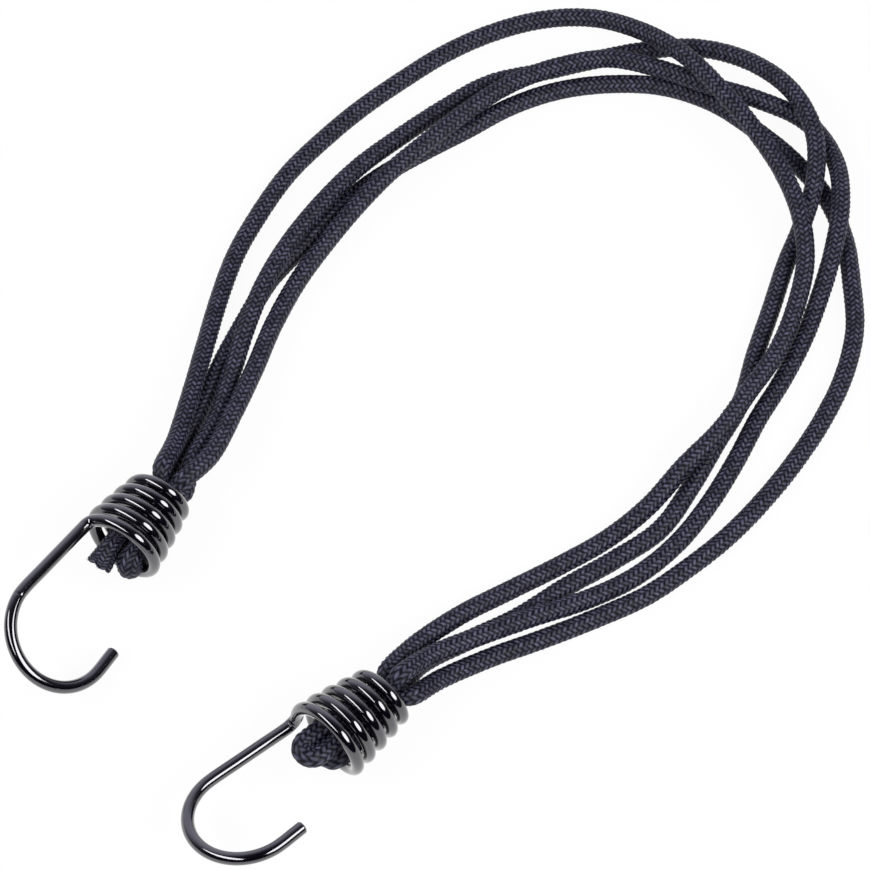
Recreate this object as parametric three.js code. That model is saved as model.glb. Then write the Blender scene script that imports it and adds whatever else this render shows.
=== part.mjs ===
// Elastic strap laced from one braided cord between two wire hooks.
// The cord runs four times from hook to hook. Each hook is one coated steel wire: a tapered coil
// that grips the four strands, a kink, a straight shank, a round bend and a cut tip.
// Millimetres, +Z up, lying on the plane Z = 0. The hooks point to -Y and the strands arch to +Y.

import * as THREE from "three";

// Hook wire
const WIRE_DIAMETER = 4;
const WIRE_SIDES = 8;
const WIRE_STEP = 3;
const SHANK_LENGTH = 27.5;
const SHANK_SPLAY = THREE.MathUtils.degToRad(4.4);
const BEND_RADIUS = 17.1;
const BEND_SWEEP = THREE.MathUtils.degToRad(184.7);
const TIP_LENGTH = 7.8;
const SHANK_OUTSET = 0.7;
const KINK_LENGTH = 4;
const KINK_TURN = THREE.MathUtils.degToRad(22);

// Coiled collar, as clear bores inside the wire
const COLLAR_TURNS = 4.75;
const COLLAR_PITCH = 5.2;
const COLLAR_MOUTH_BORE = 20;
const COLLAR_THROAT_BORE = 12.1;
const COLLAR_TAPER_POWER = 1.3;
const COIL_POINTS_PER_TURN = 24;
const BEND_POINTS = 18;

// Braided elastic cord
const CORD_DIAMETER = 6;
const CORD_SIDES = 8;
const SHEATH_WALL = 0.7;
const SHEATH_CLEARANCE = 0.4;
const CLEARANCE = 0.3;
const MOUTH_LEAD = 1;
const FLARE_LENGTH = 3;
const FLARE_PITCH = 3.8;
const SINK_FADE = 1.5;
const FOLD_STEPS = 8;

// How far the cord stands out of each collar's mouth. A fold with a leg below zero turns inside it.
const UPPER_FOLD_LEG = 4.8;
const LOWER_FOLD_LEG = -2;
const LOWER_FOLD_DIP = 0.9;
const LEFT_FOLD_LEG = -1.4;
const LONG_TAIL = 8;
const LONG_TAIL_DROOP = 2.5;
const SHORT_TAIL = 0.6;

// Where each hook lies: middle of the collar's mouth, heading of the strands to the right of +Y,
// fall of the collar towards its throat, turn of the hook about its collar, turn of the four strands
// about each other between the mouth and the throat, how far the upper two lie in the gaps of the
// lower two at the mouth, and how far the bundle leans to one side there, both in cords
const LEFT_HOOK = {
  mouth: new THREE.Vector3(-46.5, 17.5, 14),
  heading: THREE.MathUtils.degToRad(-8.3),
  fall: THREE.MathUtils.degToRad(6),
  roll: THREE.MathUtils.degToRad(37.7),
  twist: 0,
  nest: 0,
  lean: 0,
};
const RIGHT_HOOK = {
  mouth: new THREE.Vector3(43.5, 8.6, 13.75),
  heading: THREE.MathUtils.degToRad(7.6),
  fall: THREE.MathUtils.degToRad(3.1),
  roll: THREE.MathUtils.degToRad(-16.2),
  twist: THREE.MathUtils.degToRad(45),
  nest: 0.35,
  lean: 0.35,
};

// The four strands between the collars, in lacing order, each from the left hook to the right one.
// column and row say which quarter of the bundle a strand takes in each collar, and depth how far
// behind the mouth it meets its fold or its cut end.
const leftFoldDepth = MOUTH_LEAD - LEFT_FOLD_LEG;
const lowerFoldDepth = MOUTH_LEAD - LOWER_FOLD_LEG;
const STRANDS = [
  {
    left: { column: -1, row: 1, depth: 0 },
    right: { column: -1, row: 1, depth: 0 },
    route: [
      [-59.5, 58, 10.9], [-68, 74.5, 8.7], [-77, 91, 6.6], [-86, 107.5, 4.3],
      [-93.5, 124, 3.2], [-98, 140.5, 3.2], [-101, 158, 3.2], [-101, 175.5, 3.2],
      [-99.5, 193, 3.2], [-96.5, 210, 3.2], [-92.5, 227, 3.2], [-86, 243, 3.3],
      [-76, 257, 4.6], [-62, 267, 7.1], [-44, 271, 10.7], [-25, 269, 15.7],
      [-8, 265.5, 15.6], [7.5, 262, 13.1], [23, 256, 11.9], [37.5, 246.5, 11.8],
      [48.5, 235, 9.7], [56, 220.5, 8.3], [61.5, 204, 8.2], [64, 186.5, 9.2],
      [66, 169, 9.8], [65, 152.5, 8.5], [64.5, 136, 5.7], [61.5, 120, 3.9],
      [56, 103.5, 3.4], [50, 87, 4], [44.5, 70, 5.8], [41.5, 52, 8.7],
    ],
  },
  {
    left: { column: 1, row: 1, depth: leftFoldDepth },
    right: { column: 1, row: 1, depth: 0 },
    route: [
      [-47, 60, 13.1], [-52.5, 77, 11], [-59, 94, 8.4], [-66, 111, 6.3],
      [-71, 128, 5.4], [-73.5, 144.5, 5.6], [-74.5, 161, 7], [-74, 177.5, 8.7],
      [-72, 193.5, 9.7], [-70, 211, 9.2], [-66.5, 228, 8.4], [-59, 243, 8.7],
      [-48, 256.5, 8.6], [-33, 263.5, 9.1], [-16.5, 268.5, 9.5], [-1.5, 276, 6.7],
      [14.5, 280, 5], [31, 273.5, 6.6], [44, 259.5, 9.7], [52, 245.5, 8.5],
      [58, 231.5, 5.6], [63.5, 216, 3.8], [67.5, 200, 3.2], [70.5, 183, 3.2],
      [74.5, 166.5, 3.2], [77.5, 149.5, 3.2], [78.5, 132.5, 3.2], [76, 115, 3.6],
      [70, 98.5, 5.2], [62.5, 83, 7.9], [55, 67, 9.9], [48.5, 50.5, 12.9],
    ],
  },
  {
    left: { column: 1, row: -1, depth: leftFoldDepth },
    right: { column: -1, row: -1, depth: lowerFoldDepth },
    route: [
      [-51.5, 56, 8.3], [-56.5, 73.5, 6.9], [-64, 89.5, 7], [-71, 104, 8.7],
      [-77, 120, 9.7], [-81, 137, 9.5], [-83, 155, 8.9], [-83.5, 173, 7.4],
      [-82, 191.5, 4.8], [-79, 209.5, 3.4], [-74, 226.5, 3.2], [-64, 241, 3.2],
      [-54, 255.5, 3.2], [-43.5, 269, 3.5], [-30, 280.5, 4.9], [-13, 285.5, 7.5],
      [6, 283, 11.2], [21.5, 274.5, 11.8], [31.5, 262.5, 9.4], [37.5, 249, 5.5],
      [42.5, 233.5, 3.7], [49, 217.5, 3.2], [55.5, 201, 3.2], [62.5, 185, 3.2],
      [66, 167.5, 3.2], [69.5, 150.5, 3.2], [71.5, 133, 3.2], [67.5, 116, 3.2],
      [62, 99, 3.2], [57.5, 82, 3.2], [51, 66, 3.3], [45.5, 49, 4.5],
    ],
  },
  {
    left: { column: -1, row: -1, depth: 0 },
    right: { column: 1, row: -1, depth: lowerFoldDepth },
    route: [
      [-58.5, 59, 4.2], [-65, 75, 3.2], [-71, 91, 3.2], [-75.5, 107.5, 3.2],
      [-79, 124, 3.2], [-79.5, 141, 3.2], [-80, 158.5, 3.2], [-78, 175, 3.2],
      [-73.5, 191.5, 3.2], [-68, 208, 3.2], [-63, 224, 3.2], [-55, 239, 3.2],
      [-43.5, 252, 3.2], [-30, 262, 3.2], [-13.5, 267.5, 3.2], [3, 268, 3.2],
      [20, 266.5, 3.2], [36.5, 262, 3.2], [51, 253, 3.2], [63, 241, 3.2],
      [74, 228, 3.2], [81.5, 212.5, 3.2], [86, 196, 3.2], [88.5, 179, 3.2],
      [89.5, 162, 3.2], [89, 145, 3.2], [86.5, 128.5, 3.2], [82.5, 112, 3.2],
      [75.5, 96, 3.2], [68, 80.5, 3.7], [60.5, 65, 5.3], [54.5, 48.5, 8.2],
    ],
  },
];

const coatedWire = new THREE.MeshStandardMaterial({ color: 0x08080a, roughness: 0.14, metalness: 0 });
const braid = new THREE.MeshStandardMaterial({ color: 0x1a1a1f, roughness: 0.85, metalness: 0 });
const rubber = new THREE.MeshStandardMaterial({ color: 0x2b2723, roughness: 0.7, metalness: 0 });

const collarLength = COLLAR_TURNS * COLLAR_PITCH;
const wireRadius = WIRE_DIAMETER / 2;
const cordRadius = CORD_DIAMETER / 2;

function polygon(radius, sides, turn) {
  const corners = [];
  for (let i = 0; i < sides; i++) {
    const angle = turn + (2 * Math.PI * i) / sides;
    corners.push(new THREE.Vector2(radius * Math.cos(angle), radius * Math.sin(angle)));
  }
  return corners;
}

// A smooth line through points
class SmoothPath extends THREE.CatmullRomCurve3 {
  constructor(points) {
    super(points, false, "centripetal");
    this.arcLengthDivisions = 40 * points.length;
  }
}

// A smooth line whose rings stand at its own points instead of at even steps
class CordPath extends SmoothPath {
  getUtoTmapping(u) {
    return u;
  }
}

function extrudeAlong(path, shape, steps) {
  return new THREE.ExtrudeGeometry(shape, { steps, extrudePath: path, bevelEnabled: false });
}

// Radius of the coil's wire line, from 0 at the mouth to 1 at the throat
function coilRadius(share) {
  const mouth = COLLAR_MOUTH_BORE / 2 + wireRadius;
  const throat = COLLAR_THROAT_BORE / 2 + wireRadius;
  return mouth + (throat - mouth) * Math.pow(Math.max(share, 0), COLLAR_TAPER_POWER);
}

// The wire's line in the hook's own frame: the mouth's middle is the origin, +Y runs to the strands
// and the shank lies on the -X side
function hookLine() {
  const shankX = -(coilRadius(0) + SHANK_OUTSET);
  const along = new THREE.Vector3(-Math.sin(SHANK_SPLAY), -Math.cos(SHANK_SPLAY), 0);
  const across = new THREE.Vector3(Math.cos(SHANK_SPLAY), -Math.sin(SHANK_SPLAY), 0);
  const shankStart = new THREE.Vector3(shankX, -KINK_LENGTH, 0);
  const shankEnd = shankStart.clone().addScaledVector(along, SHANK_LENGTH);
  const bendMiddle = shankEnd.clone().addScaledVector(across, BEND_RADIUS);
  const points = [];

  const bendPoint = (angle) =>
    bendMiddle
      .clone()
      .addScaledVector(along, BEND_RADIUS * Math.sin(angle))
      .addScaledVector(across, -BEND_RADIUS * Math.cos(angle));
  const tipDirection = along
    .clone()
    .multiplyScalar(Math.cos(BEND_SWEEP))
    .addScaledVector(across, Math.sin(BEND_SWEEP));
  const tipStart = bendPoint(BEND_SWEEP);
  points.push(tipStart.clone().addScaledVector(tipDirection, TIP_LENGTH));
  points.push(tipStart.clone().addScaledVector(tipDirection, TIP_LENGTH / 2));
  for (let i = BEND_POINTS; i >= 0; i--) {
    points.push(bendPoint((BEND_SWEEP * i) / BEND_POINTS));
  }
  for (const share of [2 / 3, 1 / 3]) {
    points.push(shankStart.clone().addScaledVector(along, SHANK_LENGTH * share));
  }

  const coilPoint = (turned) => {
    const share = turned / (2 * Math.PI * COLLAR_TURNS);
    const angle = turned + KINK_TURN;
    const radius = coilRadius(share);
    return new THREE.Vector3(
      -radius * Math.cos(angle),
      collarLength * share,
      radius * Math.sin(angle),
    );
  };
  const coilStart = coilPoint(0);
  const elbow = new THREE.Vector3(shankX, 0, 0);
  const kink = new THREE.QuadraticBezierCurve3(shankStart, elbow, coilStart);
  points.push(...kink.getPoints(4).slice(0, -1));

  const coilSteps = COLLAR_TURNS * COIL_POINTS_PER_TURN;
  for (let i = 0; i <= coilSteps; i++) {
    points.push(coilPoint((2 * Math.PI * i) / COIL_POINTS_PER_TURN));
  }
  return { path: new SmoothPath(points), bendMiddle, crown: bendPoint(BEND_SWEEP / 2) };
}

// Least clear distance between parts of the wire that are not neighbours along it
function leastGap(path, diameter) {
  const count = Math.ceil(path.getLength());
  const points = path.getSpacedPoints(count);
  const apart = Math.ceil(4 * diameter);
  let least = Infinity;
  for (let i = 0; i < points.length; i++) {
    for (let j = i + apart; j < points.length; j++) {
      least = Math.min(least, points[i].distanceTo(points[j]));
    }
  }
  return least - diameter;
}

// The wire's eight-sided section is turned so that one flat faces the inside of the bend
function hookGeometry() {
  const { path, bendMiddle, crown } = hookLine();
  const steps = Math.round(path.getLength() / WIRE_STEP);
  const frames = path.computeFrenetFrames(steps, false);
  const spine = path.getSpacedPoints(steps);
  let nearest = 0;
  for (let i = 0; i <= steps; i++) {
    if (spine[i].distanceTo(crown) < spine[nearest].distanceTo(crown)) {
      nearest = i;
    }
  }
  const inward = bendMiddle.clone().sub(crown).normalize();
  const facing = Math.atan2(inward.dot(frames.binormals[nearest]), inward.dot(frames.normals[nearest]));
  const section = new THREE.Shape(polygon(wireRadius, WIRE_SIDES, facing + Math.PI / WIRE_SIDES));
  console.log(`least gap between turns of the hook wire: ${leastGap(path, WIRE_DIAMETER).toFixed(2)} mm`);
  return extrudeAlong(path, section, steps);
}

// A collar's frame before the hook is turned in it: +Y to the strands, +Z up
function collarFrame(hook) {
  const turn = new THREE.Matrix4().makeRotationZ(-hook.heading);
  turn.multiply(new THREE.Matrix4().makeRotationX(-hook.fall));
  turn.setPosition(hook.mouth);
  return turn;
}

// A strand is straight and full at its end, drawn in down to the throat, then full again
const flareStart = collarLength + wireRadius;
const throatRadius = (COLLAR_THROAT_BORE / 2 - CLEARANCE * (1 + Math.SQRT1_2)) / (1 + Math.SQRT2);

function drawnIn(seat, behind) {
  const leadEnd = seat.depth + MOUTH_LEAD;
  return THREE.MathUtils.clamp((behind - leadEnd) / (collarLength - leadEnd), 0, 1);
}

function inFlare(behind) {
  return THREE.MathUtils.clamp((behind - flareStart) / FLARE_LENGTH, 0, 1);
}

function cordRadiusAt(seat, behind) {
  const drawn = THREE.MathUtils.lerp(cordRadius, throatRadius, drawnIn(seat, behind));
  return THREE.MathUtils.lerp(drawn, cordRadius, inFlare(behind));
}

// The bundle lies on the floor of the coil at its deepest fold and is centred in the throat
const mouthPitch = cordRadius + CLEARANCE / 2;
const deepestLead = lowerFoldDepth + MOUTH_LEAD;
const seatReach = coilRadius(deepestLead / collarLength) - wireRadius - CLEARANCE - cordRadius;

function mouthDrop(hook) {
  const outermost = mouthPitch * (1 + hook.nest + hook.lean);
  const lowerRow = mouthPitch * Math.sqrt(1 - hook.nest ** 2);
  return Math.sqrt(seatReach ** 2 - outermost ** 2) - lowerRow;
}

const collarAxis = new THREE.Vector3(0, 1, 0);

// Middle of one strand in its quarter of the bundle, in the collar's frame
function seatLocal(hook, seat, behind) {
  const drawn = drawnIn(seat, behind);
  const packed = cordRadiusAt(seat, behind) + CLEARANCE / 2;
  const pitch = THREE.MathUtils.lerp(packed, FLARE_PITCH, inFlare(behind));
  const nest = hook.nest * (1 - drawn);
  const column = seat.column - seat.row * nest + hook.lean * (1 - drawn);
  const row = seat.row * Math.sqrt(1 - nest ** 2);
  const place = new THREE.Vector3(column * pitch, behind, row * pitch);
  place.applyAxisAngle(collarAxis, -hook.twist * drawn);
  place.z -= mouthDrop(hook) * Math.pow(1 - drawn, SINK_FADE);
  return place;
}

// Distances behind the mouth where the cord has a ring: through the collar and out of its throat
function seatDepths(seat) {
  return [
    seat.depth,
    seat.depth + MOUTH_LEAD,
    collarLength / 3,
    (2 * collarLength) / 3,
    collarLength,
    flareStart,
    flareStart + FLARE_LENGTH,
  ];
}

function seatPoints(hook, seat) {
  const frame = collarFrame(hook);
  return seatDepths(seat).map((behind) => seatLocal(hook, seat, behind).applyMatrix4(frame));
}

// Sections of a cord of this radius: the braided sheath is a tube round the rubber core
function sheathSection(radius) {
  const shape = new THREE.Shape(polygon(radius, CORD_SIDES, Math.PI / CORD_SIDES));
  const bore = radius * (1 - SHEATH_WALL / cordRadius);
  shape.holes.push(new THREE.Path(polygon(bore, CORD_SIDES, Math.PI / CORD_SIDES).reverse()));
  return shape;
}

function coreSection(radius) {
  const core = radius * (1 - (SHEATH_WALL + SHEATH_CLEARANCE) / cordRadius);
  return new THREE.Shape(polygon(core, CORD_SIDES, Math.PI / CORD_SIDES));
}

// Draws the rings of an extruded cord in towards its line
function drawIn(geometry, rings, radiusShares) {
  const position = geometry.getAttribute("position");
  const corner = new THREE.Vector3();
  for (let i = 0; i < position.count; i++) {
    corner.fromBufferAttribute(position, i);
    let nearest = 0;
    for (let j = 1; j < rings.length; j++) {
      if (corner.distanceToSquared(rings[j]) < corner.distanceToSquared(rings[nearest])) {
        nearest = j;
      }
    }
    corner.sub(rings[nearest]).multiplyScalar(radiusShares[nearest]).add(rings[nearest]);
    position.setXYZ(i, corner.x, corner.y, corner.z);
  }
}

// A stretch of cord along a path: its sheath and its core, at one radius or drawn in ring by ring
function cordMeshes(name, path, radius, radiusShares) {
  const pieces = [
    [`${name}_sheath`, sheathSection(radius), braid],
    [`${name}_core`, coreSection(radius), rubber],
  ];
  return pieces.map(([pieceName, section, material]) => {
    const geometry = extrudeAlong(path, section, path.points.length - 1);
    if (radiusShares) {
      drawIn(geometry, path.points, radiusShares);
    }
    const mesh = new THREE.Mesh(geometry, material);
    mesh.name = pieceName;
    return mesh;
  });
}

function strandMeshes(name, strand) {
  const points = [
    ...seatPoints(LEFT_HOOK, strand.left),
    ...strand.route.map((point) => new THREE.Vector3(...point)),
    ...seatPoints(RIGHT_HOOK, strand.right).reverse(),
  ];
  const shares = (seat) => seatDepths(seat).map((behind) => cordRadiusAt(seat, behind) / cordRadius);
  const radiusShares = [
    ...shares(strand.left),
    ...strand.route.map(() => 1),
    ...shares(strand.right).reverse(),
  ];
  const path = new CordPath(points);
  console.log(`${name}: ${path.getLength().toFixed(0)} mm from end to end`);
  return cordMeshes(name, path, cordRadius, radiusShares);
}

// A fold joins two strands of one collar in a round turn, which may dip away from the strands above
function foldMeshes(name, hook, from, to, leg, dip) {
  const frame = collarFrame(hook);
  const first = seatLocal(hook, from, from.depth);
  const last = seatLocal(hook, to, to.depth);
  const middle = first.clone().add(last).divideScalar(2);
  const halfway = first.clone().sub(middle);
  const start = from.depth - CLEARANCE;
  const points = [first.clone().setY(start), first.clone().setY(-leg)];
  for (let i = 1; i < FOLD_STEPS; i++) {
    const angle = (Math.PI * i) / FOLD_STEPS;
    const point = middle.clone().addScaledVector(halfway, Math.cos(angle));
    point.y = -leg - halfway.length() * Math.sin(angle);
    point.z -= dip * Math.sin(angle);
    points.push(point);
  }
  points.push(last.clone().setY(-leg), last.clone().setY(start));
  const path = new CordPath(points.map((point) => point.applyMatrix4(frame)));
  return cordMeshes(name, path, cordRadius);
}

// A cut end of the cord leaves the mouth straight, then may droop
function tailMeshes(name, hook, seat, reach, droop) {
  const frame = collarFrame(hook);
  const stops = droop > 0 ? [CLEARANCE, (CLEARANCE + reach) / 2, reach] : [CLEARANCE, reach];
  const points = stops.map((out) => seatLocal(hook, seat, 0).setY(-out));
  points.at(-1).z -= droop;
  const path = new CordPath(points.map((point) => point.applyMatrix4(frame)));
  return cordMeshes(name, path, cordRadius);
}

function hookGroup(name, hook) {
  const group = new THREE.Group();
  group.applyMatrix4(collarFrame(hook));
  const mesh = new THREE.Mesh(hookGeometry(), coatedWire);
  mesh.name = name;
  mesh.rotation.y = hook.roll;
  group.add(mesh);
  return group;
}

const strap = new THREE.Group();
strap.add(hookGroup("left_hook", LEFT_HOOK));
strap.add(hookGroup("right_hook", RIGHT_HOOK));
STRANDS.forEach((strand, index) => strap.add(...strandMeshes(`strand_${index + 1}`, strand)));
const [first, second, third, fourth] = STRANDS;
strap.add(...foldMeshes("right_fold_1", RIGHT_HOOK, first.right, second.right, UPPER_FOLD_LEG, 0));
strap.add(...foldMeshes("left_fold", LEFT_HOOK, second.left, third.left, LEFT_FOLD_LEG, 0));
strap.add(
  ...foldMeshes("right_fold_2", RIGHT_HOOK, third.right, fourth.right, LOWER_FOLD_LEG, LOWER_FOLD_DIP),
);
strap.add(...tailMeshes("left_tail_1", LEFT_HOOK, first.left, LONG_TAIL, LONG_TAIL_DROOP));
strap.add(...tailMeshes("left_tail_2", LEFT_HOOK, fourth.left, SHORT_TAIL, 0));

export default strap;
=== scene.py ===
import math

import bpy
import numpy as np
from mathutils import Matrix, Vector


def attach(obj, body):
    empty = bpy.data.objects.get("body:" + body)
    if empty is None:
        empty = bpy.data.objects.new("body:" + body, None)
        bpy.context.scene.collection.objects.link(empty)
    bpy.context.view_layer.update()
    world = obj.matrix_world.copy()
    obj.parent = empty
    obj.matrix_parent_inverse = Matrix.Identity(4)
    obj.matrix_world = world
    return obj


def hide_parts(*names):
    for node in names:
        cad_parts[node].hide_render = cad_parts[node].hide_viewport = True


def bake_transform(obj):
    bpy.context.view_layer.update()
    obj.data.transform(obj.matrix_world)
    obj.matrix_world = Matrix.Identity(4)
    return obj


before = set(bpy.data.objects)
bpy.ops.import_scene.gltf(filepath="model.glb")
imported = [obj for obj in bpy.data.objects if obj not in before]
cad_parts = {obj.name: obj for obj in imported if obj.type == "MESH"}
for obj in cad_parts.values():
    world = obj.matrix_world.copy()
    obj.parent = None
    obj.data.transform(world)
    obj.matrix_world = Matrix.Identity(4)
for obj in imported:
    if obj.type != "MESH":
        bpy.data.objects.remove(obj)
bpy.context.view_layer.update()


# Camera
# The strap is seen from high up on the side of its right hook, through a long lens that keeps the
# two hooks nearly the same size.
CAMERA_PLACE = Vector((0.4140, -0.3823, 1.1258))
CAMERA_TARGET = Vector((-0.00383, 0.11562, 0.0))
camera_data = bpy.data.cameras.new("camera")
camera_data.sensor_width = 36.0
camera_data.lens = 173.2
camera_data.clip_start = 0.05
camera_data.clip_end = 20.0
camera = bpy.data.objects.new("camera", camera_data)
camera.location = CAMERA_PLACE
camera.rotation_mode = "QUATERNION"
camera.rotation_quaternion = (CAMERA_TARGET - CAMERA_PLACE).to_track_quat("-Z", "Y")
bpy.context.scene.collection.objects.link(camera)
bpy.context.scene.camera = camera


# Hooks
# Each hook is one piece of spring steel wire under a thick gloss black coating, wound and bent
# cold: a tapered coil that grips the four strands, a kink, a straight shank, a round bend and a
# cut tip.
WIRE_RADIUS = 0.002
COLLAR_TURNS = 4.75
COIL_PITCH = 0.0052
COLLAR_LENGTH = COLLAR_TURNS * COIL_PITCH
MOUTH_BORE = 0.020
THROAT_BORE = 0.0121
TAPER_POWER = 1.3
SHANK_LENGTH = 0.0275
SHANK_SPLAY = math.radians(4.4)
SHANK_OUTSET = 0.0007
KINK_LENGTH = 0.004
KINK_TURN = math.radians(22)
BEND_RADIUS = 0.0171
BEND_SWEEP = math.radians(184.7)
TIP_LENGTH = 0.0078
WIRE_SIDES = 32
WIRE_STEP = 0.0002
BEND_POINTS = 18
KINK_POINTS = 4
COIL_POINTS = 24
FINE_POINTS = 24
CUT_ROUNDING = 0.0006
CUT_NARROWING = 0.4
SCRATCH_ALONG = 90
SCRATCH_AROUND = 9

LEFT_COLLAR = {
    "mouth": (-0.0465, 0.0175, 0.014),
    "heading": -8.3,
    "fall": 6.0,
    "roll": 37.7,
    "twist": 0.0,
    "nest": 0.0,
    "lean": 0.0,
}
RIGHT_COLLAR = {
    "mouth": (0.0435, 0.0086, 0.01375),
    "heading": 7.6,
    "fall": 3.1,
    "roll": -16.2,
    "twist": 45.0,
    "nest": 0.35,
    "lean": 0.35,
}


def collar_frame(collar):
    turn = Matrix.Rotation(-math.radians(collar["heading"]), 4, "Z")
    turn = turn @ Matrix.Rotation(-math.radians(collar["fall"]), 4, "X")
    return Matrix.Translation(collar["mouth"]) @ turn


def coil_radius(share):
    mouth = MOUTH_BORE / 2 + WIRE_RADIUS
    throat = THROAT_BORE / 2 + WIRE_RADIUS
    return mouth + (throat - mouth) * max(share, 0) ** TAPER_POWER


def hook_points():
    """The wire's line from tip to coil end, from the mouth's middle with +Y to the strands."""
    shank_x = -(coil_radius(0) + SHANK_OUTSET)
    along = Vector((-math.sin(SHANK_SPLAY), -math.cos(SHANK_SPLAY), 0))
    across = Vector((math.cos(SHANK_SPLAY), -math.sin(SHANK_SPLAY), 0))
    shank_start = Vector((shank_x, -KINK_LENGTH, 0))
    shank_end = shank_start + along * SHANK_LENGTH
    bend_middle = shank_end + across * BEND_RADIUS

    def bend_point(angle):
        return bend_middle + BEND_RADIUS * (along * math.sin(angle) - across * math.cos(angle))

    tip_way = along * math.cos(BEND_SWEEP) + across * math.sin(BEND_SWEEP)
    tip_start = bend_point(BEND_SWEEP)
    points = [tip_start + tip_way * TIP_LENGTH, tip_start + tip_way * TIP_LENGTH / 2]
    points += [bend_point(BEND_SWEEP * i / BEND_POINTS) for i in range(BEND_POINTS, -1, -1)]
    points += [shank_start + along * SHANK_LENGTH * share for share in (2 / 3, 1 / 3)]

    def coil_point(turned):
        share = turned / (2 * math.pi * COLLAR_TURNS)
        angle = turned + KINK_TURN
        radius = coil_radius(share)
        return Vector((-radius * math.cos(angle), COLLAR_LENGTH * share, radius * math.sin(angle)))

    elbow = Vector((shank_x, 0, 0))
    coil_start = coil_point(0)
    for step in range(KINK_POINTS):
        t = step / KINK_POINTS
        points.append(shank_start * (1 - t) ** 2 + elbow * 2 * t * (1 - t) + coil_start * t**2)
    last_point = int(COLLAR_TURNS * COIL_POINTS)
    points += [coil_point(2 * math.pi * i / COIL_POINTS) for i in range(last_point + 1)]
    return points


def smooth_line(points, fine):
    """Smooth line through points: places and their positions counted in points."""
    points = np.array([tuple(p) for p in points])
    before = 2 * points[0] - points[1]
    after = 2 * points[-1] - points[-2]
    padded = np.vstack([before, points, after])
    gaps = np.sqrt(np.linalg.norm(np.diff(padded, axis=0), axis=1))
    share = np.linspace(0, 1, fine, endpoint=False)[:, None]
    places = []
    for i in range(len(points) - 1):
        p0, p1, p2, p3 = padded[i : i + 4]
        g0, g1, g2 = gaps[i : i + 3]
        t1 = ((p1 - p0) / g0 - (p2 - p0) / (g0 + g1) + (p2 - p1) / g1) * g1
        t2 = ((p2 - p1) / g1 - (p3 - p1) / (g1 + g2) + (p3 - p2) / g2) * g1
        s2, s3 = share**2, share**3
        places.append(
            (2 * s3 - 3 * s2 + 1) * p1 + (s3 - 2 * s2 + share) * t1
            + (3 * s2 - 2 * s3) * p2 + (s3 - s2) * t2
        )
    count = np.arange((len(points) - 1) * fine + 1) / fine
    return np.vstack(places + [points[-1:]]), count


def even_line(places, counts, step):
    """The line at even steps: places, positions in points, and two directions square to it."""
    run = np.concatenate([[0], np.cumsum(np.linalg.norm(np.diff(places, axis=0), axis=1))])
    at = np.linspace(0, run[-1], int(round(run[-1] / step)) + 1)
    line = np.stack([np.interp(at, run, places[:, k]) for k in range(3)], axis=1)
    ahead = np.gradient(line, axis=0)
    ahead /= np.linalg.norm(ahead, axis=1)[:, None]
    side = np.zeros_like(line)
    first = np.cross(ahead[0], (0, 0, 1))
    side[0] = first / np.linalg.norm(first)
    for i in range(1, len(line)):
        turned = side[i - 1] - ahead[i] * np.dot(side[i - 1], ahead[i])
        side[i] = turned / np.linalg.norm(turned)
    return line, np.interp(at, run, counts), side, np.cross(ahead, side), run[-1]


def ring_faces(rings, sides):
    """Four-sided faces between neighbouring rings, and the numbers of the points."""
    index = np.arange(rings * sides).reshape(rings, sides)
    near, far = index[:-1], index[1:]
    faces = np.stack([near, np.roll(near, -1, axis=1), np.roll(far, -1, axis=1), far], axis=-1)
    return faces.reshape(-1, 4).tolist(), index


def new_piece(name, points, faces, finish, **values):
    """A smooth mesh object with one finish and a number or more at every point."""
    mesh = bpy.data.meshes.new(name)
    mesh.from_pydata(np.asarray(points).tolist(), [], faces)
    mesh.polygons.foreach_set("use_smooth", np.ones(len(faces), bool))
    for value_name, numbers in values.items():
        layer = mesh.attributes.new(value_name, "FLOAT", "POINT")
        layer.data.foreach_set("value", np.asarray(numbers, np.float32))
    mesh.materials.append(finish)
    mesh.update()
    piece = bpy.data.objects.new(name, mesh)
    bpy.context.scene.collection.objects.link(piece)
    return piece


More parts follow.
